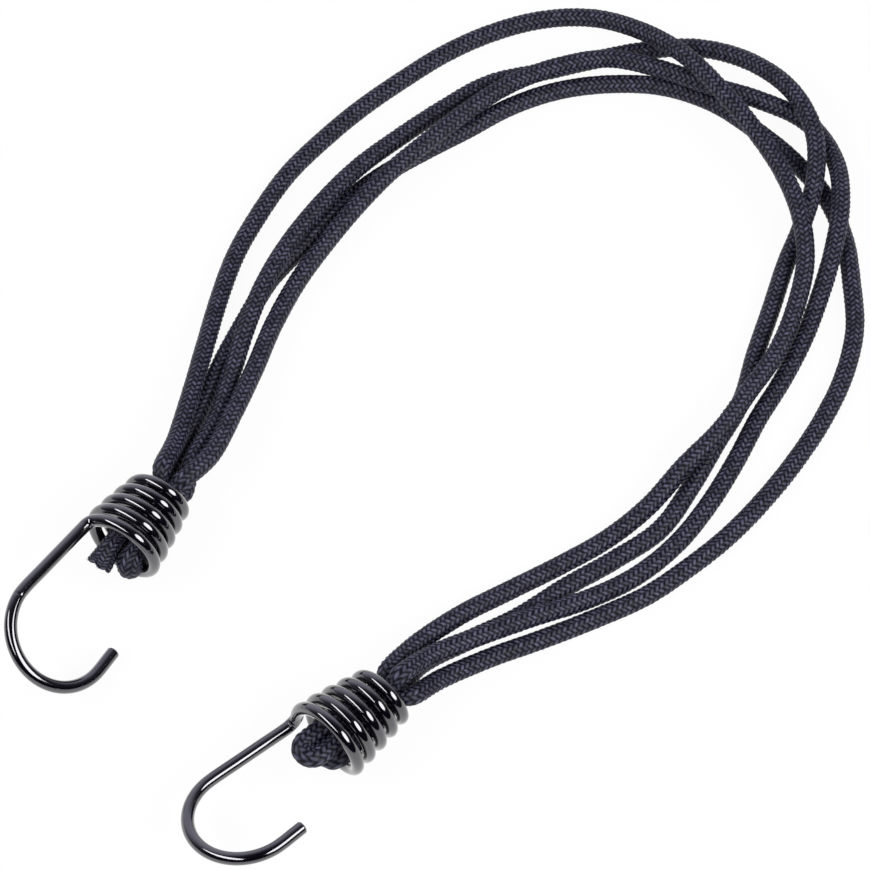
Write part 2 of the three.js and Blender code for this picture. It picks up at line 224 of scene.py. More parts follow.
def coating_material():
    """Dipped black coating: deep gloss, a slight ripple, dull hair scratches along the wire."""
    finish = bpy.data.materials.new("gloss_black_coating")
    finish.use_nodes = True
    nodes, links = finish.node_tree.nodes, finish.node_tree.links
    shader = nodes["Principled BSDF"]
    shader.inputs["IOR"].default_value = 1.9
    shader.inputs["Specular Tint"].default_value = (0.95, 0.93, 1.0, 1)
    shader.inputs["Coat Weight"].default_value = 1.0
    shader.inputs["Coat Roughness"].default_value = 0.05

    along = nodes.new("ShaderNodeAttribute")
    along.attribute_name = "wire_along"
    around = nodes.new("ShaderNodeAttribute")
    around.attribute_name = "wire_around"
    drawn_out = nodes.new("ShaderNodeCombineXYZ")
    links.new(along.outputs["Fac"], drawn_out.inputs["X"])
    links.new(around.outputs["Fac"], drawn_out.inputs["Y"])
    scratch = nodes.new("ShaderNodeTexNoise")
    scratch.inputs["Scale"].default_value = 1.0
    scratch.inputs["Detail"].default_value = 4.0
    links.new(drawn_out.outputs["Vector"], scratch.inputs["Vector"])
    worn = nodes.new("ShaderNodeMapRange")
    worn.inputs["From Min"].default_value = 0.60
    worn.inputs["From Max"].default_value = 0.72
    links.new(scratch.outputs["Fac"], worn.inputs["Value"])

    dullness = nodes.new("ShaderNodeMapRange")
    dullness.inputs["To Min"].default_value = 0.09
    dullness.inputs["To Max"].default_value = 0.24
    links.new(worn.outputs["Result"], dullness.inputs["Value"])
    links.new(dullness.outputs["Result"], shader.inputs["Roughness"])
    tone = nodes.new("ShaderNodeValToRGB")
    tone.color_ramp.elements[0].color = (0.0010, 0.0006, 0.0026, 1)
    tone.color_ramp.elements[1].color = (0.0065, 0.0060, 0.0085, 1)
    links.new(worn.outputs["Result"], tone.inputs["Fac"])
    links.new(tone.outputs["Color"], shader.inputs["Base Color"])

    place = nodes.new("ShaderNodeTexCoord")
    ripple = nodes.new("ShaderNodeTexNoise")
    ripple.inputs["Scale"].default_value = 420.0
    ripple.inputs["Detail"].default_value = 1.0
    links.new(place.outputs["Object"], ripple.inputs["Vector"])
    skin = nodes.new("ShaderNodeBump")
    skin.inputs["Strength"].default_value = 0.10
    skin.inputs["Distance"].default_value = 0.0002
    links.new(ripple.outputs["Fac"], skin.inputs["Height"])
    links.new(skin.outputs["Normal"], shader.inputs["Normal"])
    return finish


coating_finish = coating_material()


def wire_piece(name, collar, nicks):
    """One hook: round wire, rounded at both cuts, with the marks of the bending tool."""
    turn = collar_frame(collar) @ Matrix.Rotation(math.radians(collar["roll"]), 4, "Y")
    places, counts = smooth_line([turn @ p for p in hook_points()], FINE_POINTS)
    spine, _, side, up, length = even_line(places, counts, WIRE_STEP)
    angle = 2 * np.pi * np.arange(WIRE_SIDES) / WIRE_SIDES
    outward = side[:, None, :] * np.cos(angle)[None, :, None]
    outward += up[:, None, :] * np.sin(angle)[None, :, None]
    along = np.linspace(0, length, len(spine))
    from_cut = np.minimum(along, length - along)
    rounded = np.clip(1 - from_cut / CUT_ROUNDING, 0, 1)
    narrowed = WIRE_RADIUS * np.sqrt(1 - CUT_NARROWING * rounded**2)
    radius = narrowed[:, None] * np.ones(WIRE_SIDES)
    for place, facing, depth, width in nicks:
        near = np.exp(-(((along - place) / width) ** 2))
        struck = np.clip(outward @ np.array(facing), 0, 1) ** 2
        radius -= depth * near[:, None] * struck
    points = (spine[:, None, :] + radius[..., None] * outward).reshape(-1, 3)
    faces, index = ring_faces(len(spine), WIRE_SIDES)
    faces.append(index[0, ::-1].tolist())
    faces.append(index[-1].tolist())
    return new_piece(
        name,
        points,
        faces,
        coating_finish,
        wire_along=np.repeat(along * SCRATCH_ALONG, WIRE_SIDES),
        wire_around=np.tile(np.abs(angle - np.pi) * SCRATCH_AROUND, len(spine)),
    )


# Place along the wire from its tip, the side that was struck, depth and width of each mark
UPPER_FRONT = (0.32, -0.38, 0.87)
LEFT_NICKS = [
    (0.0591, UPPER_FRONT, 0.00012, 0.0004),
]
RIGHT_NICKS = [
    (0.0913, UPPER_FRONT, 0.00022, 0.0003),
    (0.0923, UPPER_FRONT, 0.00022, 0.0003),
]
for name, collar, nicks in (
    ("left_hook", LEFT_COLLAR, LEFT_NICKS),
    ("right_hook", RIGHT_COLLAR, RIGHT_NICKS),
):
    hook = wire_piece(name + "_wire", collar, nicks)
    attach(hook, name)
    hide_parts(name)


# Cord
# One length of elastic cord, a rubber core in a braided polyester sheath, is laced four times from
# hook to hook. It folds back at each collar, where the coil grips it, and its two cut ends stand
# in the left collar's mouth.
CORD_RADIUS = 0.003
SLACK = 0.0003
THROAT_RADIUS = (THROAT_BORE / 2 - SLACK * (1 + math.sqrt(0.5))) / (1 + math.sqrt(2))
MOUTH_LEAD = 0.001
FLARE_START = COLLAR_LENGTH + WIRE_RADIUS
FLARE_LENGTH = 0.003
FLARE_PITCH = 0.0038
UPPER_FOLD_LEG = 0.0048
LOWER_FOLD_LEG = -0.002
LOWER_FOLD_DIP = 0.0009
LEFT_FOLD_LEG = -0.0014
LEFT_FOLD_DEPTH = MOUTH_LEAD - LEFT_FOLD_LEG
LOWER_FOLD_DEPTH = MOUTH_LEAD - LOWER_FOLD_LEG
RIGHT_FOLD_BULGE = 0.05
LEFT_FOLD_BULGE = 0.28
FOLD_STEPS = 8
SINK_POWER = 1.5
LONG_TAIL = 0.0073
LONG_TAIL_DROOP = 0.0026
SHORT_TAIL = 0.0006
CORD_STEP = 0.0002

# The long cut end swells towards its cut: share of its reach and radius at each point
LONG_TAIL_SWELL = [(1, 0.0041), (0.75, 0.0039), (0.5, 0.0036), (0.25, 0.0032)]

# The strands in lacing order, each from the left hook to the right one
ROUTES = [
    [
        (-0.0595, 0.058, 0.0109), (-0.068, 0.0745, 0.0087), (-0.077, 0.091, 0.0066),
        (-0.086, 0.1075, 0.0043), (-0.0935, 0.124, 0.0032), (-0.098, 0.1405, 0.0032),
        (-0.101, 0.158, 0.0032), (-0.101, 0.1755, 0.0032), (-0.0995, 0.193, 0.0032),
        (-0.0965, 0.21, 0.0032), (-0.0925, 0.227, 0.0032), (-0.086, 0.243, 0.0033),
        (-0.076, 0.257, 0.0046), (-0.062, 0.267, 0.0071), (-0.044, 0.271, 0.0107),
        (-0.025, 0.269, 0.0157), (-0.008, 0.2655, 0.0156), (0.0075, 0.262, 0.0131),
        (0.023, 0.256, 0.0119), (0.0375, 0.2465, 0.0118), (0.0485, 0.235, 0.0097),
        (0.056, 0.2205, 0.0083), (0.0615, 0.204, 0.0082), (0.064, 0.1865, 0.0092),
        (0.066, 0.169, 0.0098), (0.065, 0.1525, 0.0085), (0.0645, 0.136, 0.0057),
        (0.0615, 0.12, 0.0039), (0.056, 0.1035, 0.0034), (0.05, 0.087, 0.004),
        (0.0445, 0.07, 0.0058), (0.0415, 0.052, 0.0087),
    ],
    [
        (-0.047, 0.06, 0.0131), (-0.0525, 0.077, 0.011), (-0.059, 0.094, 0.0084),
        (-0.066, 0.111, 0.0063), (-0.071, 0.128, 0.0054), (-0.0735, 0.1445, 0.0056),
        (-0.0745, 0.161, 0.007), (-0.074, 0.1775, 0.0087), (-0.072, 0.1935, 0.0097),
        (-0.07, 0.211, 0.0092), (-0.0665, 0.228, 0.0084), (-0.059, 0.243, 0.0087),
        (-0.048, 0.2565, 0.0086), (-0.033, 0.2635, 0.0091), (-0.0165, 0.2685, 0.0095),
        (-0.0015, 0.276, 0.0067), (0.0145, 0.28, 0.005), (0.031, 0.2735, 0.0066),
        (0.044, 0.2595, 0.0097), (0.052, 0.2455, 0.0085), (0.058, 0.2315, 0.0056),
        (0.0635, 0.216, 0.0038), (0.0675, 0.2, 0.0032), (0.0705, 0.183, 0.0032),
        (0.0745, 0.1665, 0.0032), (0.0775, 0.1495, 0.0032), (0.0785, 0.1325, 0.0032),
        (0.076, 0.115, 0.0036), (0.07, 0.0985, 0.0052), (0.0625, 0.083, 0.0079),
        (0.055, 0.067, 0.0099), (0.0485, 0.0505, 0.0129),
    ],
    [
        (-0.0515, 0.056, 0.0083), (-0.0567, 0.0735, 0.0069), (-0.0643, 0.0895, 0.007),
        (-0.071, 0.104, 0.0087), (-0.077, 0.12, 0.0097), (-0.081, 0.137, 0.0095),
        (-0.083, 0.155, 0.0089), (-0.0835, 0.173, 0.0074), (-0.082, 0.1915, 0.0048),
        (-0.079, 0.2095, 0.0034), (-0.074, 0.2265, 0.0032), (-0.064, 0.241, 0.0032),
        (-0.054, 0.2555, 0.0032), (-0.0435, 0.269, 0.0035), (-0.03, 0.2805, 0.0049),
        (-0.013, 0.2855, 0.0075), (0.006, 0.283, 0.0112), (0.0215, 0.2745, 0.0118),
        (0.0315, 0.2625, 0.0094), (0.0375, 0.249, 0.0055), (0.0425, 0.2335, 0.0037),
        (0.049, 0.2175, 0.0032), (0.0555, 0.201, 0.0032), (0.0625, 0.185, 0.0032),
        (0.066, 0.1675, 0.0032), (0.0695, 0.1505, 0.0032), (0.0715, 0.133, 0.0032),
        (0.0675, 0.116, 0.0032), (0.062, 0.099, 0.0032), (0.0575, 0.082, 0.0032),
        (0.051, 0.066, 0.0033), (0.0455, 0.049, 0.0045),
    ],
    [
        (-0.0585, 0.059, 0.0042), (-0.0645, 0.075, 0.0032), (-0.0704, 0.091, 0.0032),
        (-0.0751, 0.1075, 0.0032), (-0.079, 0.124, 0.0032), (-0.0795, 0.141, 0.0032),
        (-0.08, 0.1585, 0.0032), (-0.078, 0.175, 0.0032), (-0.0735, 0.1915, 0.0032),
        (-0.068, 0.208, 0.0032), (-0.063, 0.224, 0.0032), (-0.055, 0.239, 0.0032),
        (-0.0435, 0.252, 0.0032), (-0.03, 0.262, 0.0032), (-0.0135, 0.2675, 0.0032),
        (0.003, 0.268, 0.0032), (0.02, 0.2665, 0.0032), (0.0365, 0.262, 0.0032),
        (0.051, 0.253, 0.0032), (0.063, 0.241, 0.0032), (0.074, 0.228, 0.0032),
        (0.0815, 0.2125, 0.0032), (0.086, 0.196, 0.0032), (0.0885, 0.179, 0.0032),
        (0.0895, 0.162, 0.0032), (0.089, 0.145, 0.0032), (0.0865, 0.1285, 0.0032),
        (0.0825, 0.112, 0.0032), (0.0755, 0.096, 0.0032), (0.068, 0.0805, 0.0037),
        (0.0605, 0.065, 0.0053), (0.0545, 0.0485, 0.0082),
    ],
]
# Column, row, depth behind the mouth and sideways give of each strand in the left and the right
# collar, and the route point at its far end
SEATS = [
    ((-1, 1, 0.0, 0.0010), (-1, 1, 0.0, 0.0), 15),
    ((1, 1, LEFT_FOLD_DEPTH, 0.0020), (1, 1, 0.0, 0.0), 16),
    ((1, -1, LEFT_FOLD_DEPTH, 0.0022), (-1, -1, LOWER_FOLD_DEPTH, 0.0), 15),
    ((-1, -1, 0.0, 0.0), (1, -1, LOWER_FOLD_DEPTH, 0.0), 16),
]


def drawn_in(seat, behind):
    """How far the coil has drawn the bundle in, from 0 at the mouth to 1 at the throat."""
    lead_end = seat[2] + MOUTH_LEAD
    return min(max((behind - lead_end) / (COLLAR_LENGTH - lead_end), 0), 1)


def in_flare(behind):
    return min(max((behind - FLARE_START) / FLARE_LENGTH, 0), 1)


def drawn_radius(seat, behind):
    drawn = CORD_RADIUS + (THROAT_RADIUS - CORD_RADIUS) * drawn_in(seat, behind)
    return drawn + (CORD_RADIUS - drawn) * in_flare(behind)


def mouth_drop(collar):
    """How far the bundle sinks onto the floor of the coil at the mouth."""
    deepest = coil_radius((LOWER_FOLD_DEPTH + MOUTH_LEAD) / COLLAR_LENGTH)
    reach = deepest - WIRE_RADIUS - SLACK - CORD_RADIUS
    pitch = CORD_RADIUS + SLACK / 2
    outermost = pitch * (1 + collar["nest"] + collar["lean"])
    return math.sqrt(reach**2 - outermost**2) - pitch * math.sqrt(1 - collar["nest"] ** 2)


def seat_point(collar, seat, behind):
    """Middle of one strand in its quarter of the bundle, in the collar's own frame."""
    drawn = drawn_in(seat, behind)
    packed = drawn_radius(seat, behind) + SLACK / 2
    pitch = packed + (FLARE_PITCH - packed) * in_flare(behind)
    nest = collar["nest"] * (1 - drawn)
    column = seat[0] - seat[1] * nest + collar["lean"] * (1 - drawn)
    row = seat[1] * math.sqrt(1 - nest**2)
    turn = Matrix.Rotation(-math.radians(collar["twist"]) * drawn, 3, "Y")
    place = turn @ Vector((column * pitch, behind, row * pitch))
    place.x += seat[3] * (1 - drawn)
    return place - Vector((0, 0, mouth_drop(collar) * (1 - drawn) ** SINK_POWER))


def seat_depths(seat):
    thirds = [COLLAR_LENGTH / 3, 2 * COLLAR_LENGTH / 3, COLLAR_LENGTH]
    return [seat[2], seat[2] + MOUTH_LEAD] + thirds + [FLARE_START, FLARE_START + FLARE_LENGTH]


def seat_line(collar, seat):
    """Points and radii of one strand from the mouth of a collar to clear of its throat."""
    depths = seat_depths(seat)
    points = [collar_frame(collar) @ seat_point(collar, seat, depth) for depth in depths]
    return points, [drawn_radius(seat, depth) for depth in depths]


# The whole cord in lacing order, with the places where one stretch of it ends and the next begins
cord_points = []
cord_radii = []
stretch_marks = [0]


def lay_cord(points, radii):
    cord_points.extend(points)
    cord_radii.extend(radii)


def lay_strand(number, backwards):
    left_seat, right_seat, far_point = SEATS[number]
    left_points, left_radii = seat_line(LEFT_COLLAR, left_seat)
    right_points, right_radii = seat_line(RIGHT_COLLAR, right_seat)
    route = [Vector(p) for p in ROUTES[number]]
    points = left_points + route + right_points[::-1]
    radii = left_radii + [CORD_RADIUS] * len(route) + right_radii[::-1]
    far_mark = len(left_points) + far_point
    if backwards:
        points, radii, far_mark = points[::-1], radii[::-1], len(points) - 1 - far_mark
    start = len(cord_points)
    lay_cord(points, radii)
    stretch_marks.extend([start, start + far_mark, start + len(points) - 1])


def lay_fold(collar, seat_from, seat_to, leg, dip, bulge):
    """A round turn in front of the mouth, which may dip away from the strands above it."""
    first = seat_point(collar, seat_from, seat_from[2])
    last = seat_point(collar, seat_to, seat_to[2])
    middle, halfway = (first + last) / 2, (first - last) / 2
    for step in range(FOLD_STEPS + 1):
        angle = math.pi * step / FOLD_STEPS
        point = middle + halfway * math.cos(angle)
        point.y = -leg - halfway.length * math.sin(angle)
        point.z -= dip * math.sin(angle)
        lay_cord([collar_frame(collar) @ point], [CORD_RADIUS * (1 + bulge * math.sin(angle))])


def tail_points(seat, reach, droop, shares):
    """Points of a cut end in the left mouth, from its cut inwards."""
    mouth = seat_point(LEFT_COLLAR, seat, 0.0)
    points = [mouth + Vector((0, -reach * s, -droop * s * s * (3 - 2 * s))) for s in shares]
    return [collar_frame(LEFT_COLLAR) @ p for p in points]


tail_shares, tail_radii = zip(*LONG_TAIL_SWELL)
long_tail = tail_points(SEATS[0][0], LONG_TAIL, LONG_TAIL_DROOP, tail_shares)
short_tail = tail_points(SEATS[3][0], SHORT_TAIL, 0.0, (1,))
lay_cord(long_tail, tail_radii)
lay_strand(0, False)
lay_fold(RIGHT_COLLAR, SEATS[0][1], SEATS[1][1], UPPER_FOLD_LEG, 0.0, RIGHT_FOLD_BULGE)
lay_strand(1, True)
lay_fold(LEFT_COLLAR, SEATS[1][0], SEATS[2][0], LEFT_FOLD_LEG, 0.0, LEFT_FOLD_BULGE)
lay_strand(2, False)
lay_fold(RIGHT_COLLAR, SEATS[2][1], SEATS[3][1], LOWER_FOLD_LEG, LOWER_FOLD_DIP, RIGHT_FOLD_BULGE)
lay_strand(3, True)
lay_cord(short_tail, [CORD_RADIUS])
stretch_marks.append(len(cord_points) - 1)

# Twenty-four carriers lay the yarn two over and two under, so the sheath shows twelve columns of
# floats leaning left and right in turn, bunched up in the left mouth and drawn apart round the
# right folds
COLUMNS = 12
COLUMN_POINTS = 4
FLOAT_PITCH = 0.00184
BUNCHED_LEFT, DRAWN_RIGHT = 0.38, 0.15
MOUTH_REACH, MOUTH_FADE = 0.020, 0.012
FLOAT_RINGS = 6
FLOAT_SLANT = 0.00095
FLOAT_RISE = 0.00036
FLOAT_LEVEL = 0.8
FLOAT_ROUNDNESS = 0.9
FLOAT_END_HEIGHT = 0.6
FLOAT_END_ROUNDNESS = 0.7
BETWEEN_COLUMNS = 0.5
FLOAT_SHIFT = 0.00030
FLOAT_LOOSENESS = 0.00008
CORD_SIDES = COLUMNS * COLUMN_POINTS

fine_places, fine_counts = smooth_line(cord_points, FINE_POINTS)
line, line_count, line_side, line_up, cord_length = even_line(fine_places, fine_counts, CORD_STEP)
line_at = np.linspace(0, cord_length, len(line))
line_radius = np.interp(line_count, np.arange(len(cord_radii)), cord_radii)


def near_mouth(collar):
    """1 along the line in the mouth of this collar, fading to 0 out of the mouth's reach."""
    mouth = np.array(collar_frame(collar) @ Vector((0, 0, 0)))
    return np.clip((MOUTH_REACH - np.linalg.norm(line - mouth, axis=1)) / MOUTH_FADE, 0, 1)


bunching = 1 - BUNCHED_LEFT * near_mouth(LEFT_COLLAR) + DRAWN_RIGHT * near_mouth(RIGHT_COLLAR)
float_pitch = FLOAT_PITCH * bunching
floats_along = np.append(0, np.cumsum(np.diff(line_at) / float_pitch[1:]))
ring_count = int(floats_along[-1] * FLOAT_RINGS)
ring_at = np.interp(np.linspace(0, floats_along[-1], ring_count + 1), floats_along, line_at)

around = np.arange(CORD_SIDES)
column = around // COLUMN_POINTS
in_column = (around % COLUMN_POINTS) / COLUMN_POINTS
lean = np.where(column % 2 == 0, in_column, 1 - in_column) - 0.5
stagger = 0.5 * (column % 2)[None, :]
yarn_row = np.arange(ring_count + 1)[:, None] / FLOAT_RINGS + stagger
across_float = np.sin(np.pi * (yarn_row % 1)) ** FLOAT_ROUNDNESS
in_float = np.sin(np.pi * in_column) ** FLOAT_END_ROUNDNESS
along_float = FLOAT_END_HEIGHT + (1 - FLOAT_END_HEIGHT) * in_float
crowned = across_float * along_float[None, :]
yarn_height = np.where(in_column[None, :] == 0, BETWEEN_COLUMNS, crowned)

# Each float has been pulled a little tighter or looser, so some stand out paler than others
yarn_seed = np.random.default_rng(11)
float_tones = yarn_seed.random((int(yarn_row.max()) + 1, COLUMNS))
float_tone = float_tones[yarn_row.astype(int), column]
float_pulls = yarn_seed.random(float_tones.shape)
shifted = FLOAT_SHIFT * (float_pulls[yarn_row.astype(int), column] - 0.5)
vertex_at = np.clip(ring_at[:, None] + FLOAT_SLANT * lean[None, :] + shifted, 0, cord_length)


def along_line(values):
    return np.stack([np.interp(vertex_at, line_at, values[:, k]) for k in range(3)], axis=-1)


turn_angle = 2 * np.pi * around / CORD_SIDES
outward = along_line(line_side) * np.cos(turn_angle)[None, :, None]
outward += along_line(line_up) * np.sin(turn_angle)[None, :, None]
loose = FLOAT_LOOSENESS * (float_tone - 0.5)
plain_radius = np.interp(vertex_at, line_at, line_radius)
vertex_radius = plain_radius + FLOAT_RISE * (yarn_height - FLOAT_LEVEL) + loose

# The long end was cut on the slant, with its upper side the longer
CUT_SLANT = 0.45
CUT_WAY_STEPS = 10
slant_share = np.clip(1 - ring_at / LONG_TAIL, 0, 1)
cut_way = line[0] - line[CUT_WAY_STEPS]
cut_way /= np.linalg.norm(cut_way)
cut_up = np.array(UPPER_FRONT)
cut_up -= cut_way * np.dot(cut_up, cut_way)
cut_up /= np.linalg.norm(cut_up)


def sheath_surface(inset):
    """Points of the sheath at this depth below its outside."""
    from_line = outward * (vertex_radius - inset)[..., None]
    slanted = CUT_SLANT * slant_share[:, None] * (from_line @ cut_up)
    return along_line(line) + from_line + slanted[..., None] * cut_way


SHEATH_WALL = 0.0007
SHEATH_HOLLOW = 0.0022
cord_vertices = sheath_surface(0.0)
sheath_inside = sheath_surface(SHEATH_WALL)


def nearest_ring(at):
    """Number of the ring nearest to a place along the cord."""
    return int(round(np.interp(at, ring_at, np.arange(ring_count + 1))))


def ring_of(mark):
    """Number of the ring nearest to a numbered point of the cord."""
    return nearest_ring(np.interp(mark, line_count, line_at))


def braid_material():
    """Charcoal polyester, darkened to near black in the gaps between floats as painted shade,
    filaments along each float, some floats paler.
    """
    finish = bpy.data.materials.new("braided_polyester")
    finish.use_nodes = True
    nodes, links = finish.node_tree.nodes, finish.node_tree.links
    shader = nodes["Principled BSDF"]
    shader.inputs["Roughness"].default_value = 0.46
    shader.inputs["Specular IOR Level"].default_value = 0.20

    def at_point(name):
        reader = nodes.new("ShaderNodeAttribute")
        reader.attribute_name = name
        return reader.outputs["Fac"]

    # Painted shade: by each float's height, the colour runs from the yarn's charcoal on the crown
    # to a violet near-black on the flanks and in the gaps between floats.
    tone = nodes.new("ShaderNodeValToRGB")
    tone.color_ramp.elements[0].position = 0.44
    tone.color_ramp.elements[0].color = (0.0017, 0.0013, 0.0066, 1)
    tone.color_ramp.elements[1].position = 0.92
    tone.color_ramp.elements[1].color = (0.075, 0.073, 0.114, 1)
    links.new(at_point("yarn_height"), tone.inputs["Fac"])

    filament_place = nodes.new("ShaderNodeCombineXYZ")
    links.new(at_point("yarn_row"), filament_place.inputs["X"])
    links.new(at_point("yarn_column"), filament_place.inputs["Y"])
    stretched = nodes.new("ShaderNodeVectorMath")
    stretched.operation = "MULTIPLY"
    stretched.inputs[1].default_value = (9.0, 2.0, 1.0)
    links.new(filament_place.outputs["Vector"], stretched.inputs[0])
    filament = nodes.new("ShaderNodeTexNoise")
    filament.inputs["Scale"].default_value = 1.0
    filament.inputs["Detail"].default_value = 2.0
    links.new(stretched.outputs["Vector"], filament.inputs["Vector"])

    streak = nodes.new("ShaderNodeMapRange")
    streak.inputs["From Min"].default_value = 0.3
    streak.inputs["From Max"].default_value = 0.7
    streak.inputs["To Min"].default_value = 0.65
    streak.inputs["To Max"].default_value = 1.30
    links.new(filament.outputs["Fac"], streak.inputs["Value"])
    paler = nodes.new("ShaderNodeMapRange")
    paler.inputs["To Min"].default_value = 0.60
    paler.inputs["To Max"].default_value = 1.40
    links.new(at_point("float_tone"), paler.inputs["Value"])
    shade = nodes.new("ShaderNodeMath")
    shade.operation = "MULTIPLY"
    links.new(streak.outputs["Result"], shade.inputs[0])
    links.new(paler.outputs["Result"], shade.inputs[1])
    yarn = nodes.new("ShaderNodeVectorMath")
    yarn.operation = "SCALE"
    links.new(tone.outputs["Color"], yarn.inputs[0])
    links.new(shade.outputs["Value"], yarn.inputs["Scale"])
    links.new(yarn.outputs["Vector"], shader.inputs["Base Color"])

    strand_bump = nodes.new("ShaderNodeBump")
    strand_bump.inputs["Strength"].default_value = 0.4
    strand_bump.inputs["Distance"].default_value = 0.0001
    links.new(filament.outputs["Fac"], strand_bump.inputs["Height"])
    links.new(strand_bump.outputs["Normal"], shader.inputs["Normal"])
    return finish


braid_finish = braid_material()
row_number = yarn_row - stagger
column_number = np.broadcast_to(around / COLUMN_POINTS, yarn_row.shape)


def cord_stretch(name, first_mark, last_mark):
    """One stretch of the braided cord as a closed mesh, hollow at a cut end of the cord."""
    first, last = ring_of(first_mark), ring_of(last_mark)
    rings = [(cord_vertices[r], r) for r in range(first, last + 1)]
    for at_end, ring in ((False, 0), (True, ring_count)):
        if ring != (last if at_end else first):
            continue
        inside = nearest_ring(SHEATH_HOLLOW)
        deep = ring_count - inside if at_end else inside
        lips = [(sheath_inside[ring], ring), (sheath_inside[deep], deep)]
        rings = rings + lips if at_end else lips[::-1] + rings
    points = np.vstack([places for places, _ in rings])
    order = [number for _, number in rings]
    ends = [rings[0][0].mean(axis=0), rings[-1][0].mean(axis=0)]
    faces, index = ring_faces(len(rings), CORD_SIDES)
    start_hub, end_hub = len(points), len(points) + 1
    for j in range(CORD_SIDES):
        k = (j + 1) % CORD_SIDES
        faces.append((int(index[0, k]), int(index[0, j]), start_hub))
        faces.append((int(index[-1, j]), int(index[-1, k]), end_hub))

    def with_hubs(numbers):
        return np.append(numbers[order].ravel(), [0, 0])

    return new_piece(
        name,
        np.vstack([points, ends]),
        faces,
        braid_finish,
        yarn_height=with_hubs(yarn_height),
        float_tone=with_hubs(float_tone),
        yarn_row=with_hubs(row_number),
        yarn_column=with_hubs(column_number),
    )


STRETCHES = [
    ("cut_end_long", "left_tail_1"),
    ("strand_1_left", "strand_1"),
    ("strand_1_right", "strand_1"),
    ("fold_right_upper", "right_fold_1"),
    ("strand_2_right", "strand_2"),
    ("strand_2_left", "strand_2"),
    ("fold_left", "left_fold"),
    ("strand_3_left", "strand_3"),
    ("strand_3_right", "strand_3"),
    ("fold_right_lower", "right_fold_2"),
    ("strand_4_right", "strand_4"),
    ("strand_4_left", "strand_4"),
    ("cut_end_short", "left_tail_2"),
]

for number, (name, solid) in enumerate(STRETCHES):
    piece = cord_stretch(name, stretch_marks[number], stretch_marks[number + 1])
    if "strand" in name and name.endswith("right"):
        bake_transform(piece)
    elif "right" in name:
        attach(piece, "right_end")
    else:
        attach(piece, "cords")
    if "cut_end" in name:
        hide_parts(solid + "_sheath")
    else:
        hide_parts(solid + "_sheath", solid + "_core")


# Cut ends
# Both ends of the cord were cut with a blade, the long one on the slant. The rubber threads of the
# core show inside the sheath, and the yarn of the braid has sprung open into a short fringe.
THREAD_RADIUS = 0.00031
THREAD_SIDES = 10
THREAD_LAYERS = 4
THREAD_FOOT = 0.0042
THREAD_RECESS, THREAD_UNEVEN = 0.0007, 0.0006
YARN_ROOT_RADIUS, YARN_TIP_RADIUS = 0.00011, 0.00004
YARN_SIDES = 5
YARN_ROOT = 0.0004
YARN_INSET, YARN_INSET_UNEVEN = 0.00015, 0.00035
YARN_SPREAD, YARN_TURN_IN, YARN_TANGLE = 0.9, 0.15, 0.35
YARN_SHORTEST, YARN_LONGER = 0.35, 0.9
FRINGE_HEIGHT = 0.75
FRINGE_ROWS = 40
ROD_ASKEW = (0.31, 0.52, 0.79)
DOME_RISE, DOME_WIDTH = 0.4, 0.6
END_WAY_LENGTH = 0.002


def rubber_material():
    """Natural rubber thread darkened by its dusting of talc and dirt."""
    finish = bpy.data.materials.new("rubber_thread")
    finish.use_nodes = True
    nodes, links = finish.node_tree.nodes, finish.node_tree.links
    shader = nodes["Principled BSDF"]
    shader.inputs["Roughness"].default_value = 0.7
    place = nodes.new("ShaderNodeTexCoord")
    dust = nodes.new("ShaderNodeTexNoise")
    dust.inputs["Scale"].default_value = 1800.0
    links.new(place.outputs["Object"], dust.inputs["Vector"])
    tone = nodes.new("ShaderNodeValToRGB")
    tone.color_ramp.elements[0].color = (0.006, 0.0055, 0.006, 1)
    tone.color_ramp.elements[1].color = (0.030, 0.026, 0.023, 1)
    links.new(dust.outputs["Fac"], tone.inputs["Fac"])
    links.new(tone.outputs["Color"], shader.inputs["Base Color"])
    return finish


rubber_finish = rubber_material()
cut_seed = np.random.default_rng(5)


def spike(base, tip, radius_from, radius_to, sides):
    """A closed tapered rod between two places: its points and faces."""
    way = (tip - base) / np.linalg.norm(tip - base)
    side = np.cross(way, ROD_ASKEW)
    side /= np.linalg.norm(side)
    up = np.cross(way, side)
    angle = 2 * np.pi * np.arange(sides) / sides
    ring = np.cos(angle)[:, None] * side + np.sin(angle)[:, None] * up
    dome = tip + way * DOME_RISE * radius_to
    dome_ring = dome + ring * DOME_WIDTH * radius_to
    rings = [base + ring * radius_from, tip + ring * radius_to, dome_ring]
    faces, index = ring_faces(len(rings), sides)
    return np.vstack(rings), faces + [index[0, ::-1].tolist(), index[-1].tolist()]


def joined(rods):
    """Many rods as one list of points and one of faces."""
    points, faces, count = [], [], 0
    for rod_points, rod_faces in rods:
        points.append(rod_points)
        faces.extend([[number + count for number in face] for face in rod_faces])
        count += len(rod_points)
    return np.vstack(points), faces


def line_point(at):
    """The middle of the cord at a place along it."""
    return np.array([np.interp(at, line_at, line[:, k]) for k in range(3)])


